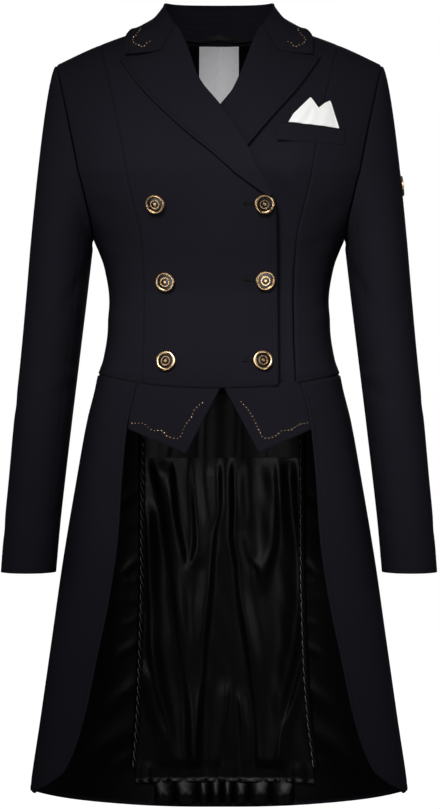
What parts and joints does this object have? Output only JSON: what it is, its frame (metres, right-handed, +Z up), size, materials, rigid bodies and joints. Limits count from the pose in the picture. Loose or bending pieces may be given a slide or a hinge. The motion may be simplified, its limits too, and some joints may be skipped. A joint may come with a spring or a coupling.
{
  "type": "dressage tailcoat",
  "caption": "Worn-form double-breasted riding tailcoat with peaked lapels, waistcoat points, set-in sleeves and a long open skirt lined with folded satin",
  "frame": {"origin": "the middle of the base of the neck, level with the top of the shoulder seams, where the wearer's neck and shoulders carry the coat", "axes": "+X to the wearer's left, +Y to the wearer's back, +Z up, so the front faces -Y"},
  "size_m": [0.521, 0.3114, 0.9943],
  "materials": {
    "softshell": "matt black brushed stretch cloth",
    "satin": "black lining satin with a soft sheen",
    "cording": "black twisted cord",
    "gilt": "polished gilt rim round a dark centre",
    "linen": "white pressed cotton",
    "label_satin": "bare grey woven satin"
  },
  "bodies": {
    "root": {"front_right": "softshell", "side_front_right": "softshell", "back_right": "softshell", "side_back_right": "softshell", "sleeve_top_right": "softshell", "sleeve_under_right": "softshell", "lapel_right": "softshell", "skirt_front_right": "softshell", "skirt_back_right": "softshell", "vest_point_right": "softshell", "tail_lining_side_right": "satin", "tail_cord_right": "cording", "front_left": "softshell", "side_front_left": "softshell", "back_left": "softshell", "side_back_left": "softshell", "sleeve_top_left": "softshell", "sleeve_under_left": "softshell", "lapel_left": "softshell", "skirt_front_left": "softshell", "skirt_back_left": "softshell", "vest_point_left": "softshell", "tail_lining_side_left": "satin", "tail_cord_left": "cording", "collar": "softshell", "pocket_welt": "softshell", "tail_lining_centre": "satin", "tail_lining_yoke": "satin", "hem_pleats": "satin", "back_neck_lining": "satin", "hanger_tape": "cording", "label": "label_satin", "pocket_square": "linen", "button_1": "gilt", "button_2": "gilt", "button_3": "gilt", "button_4": "gilt", "button_5": "gilt", "button_6": "gilt", "sleeve_badge": "gilt"}
  },
  "joints": []
}
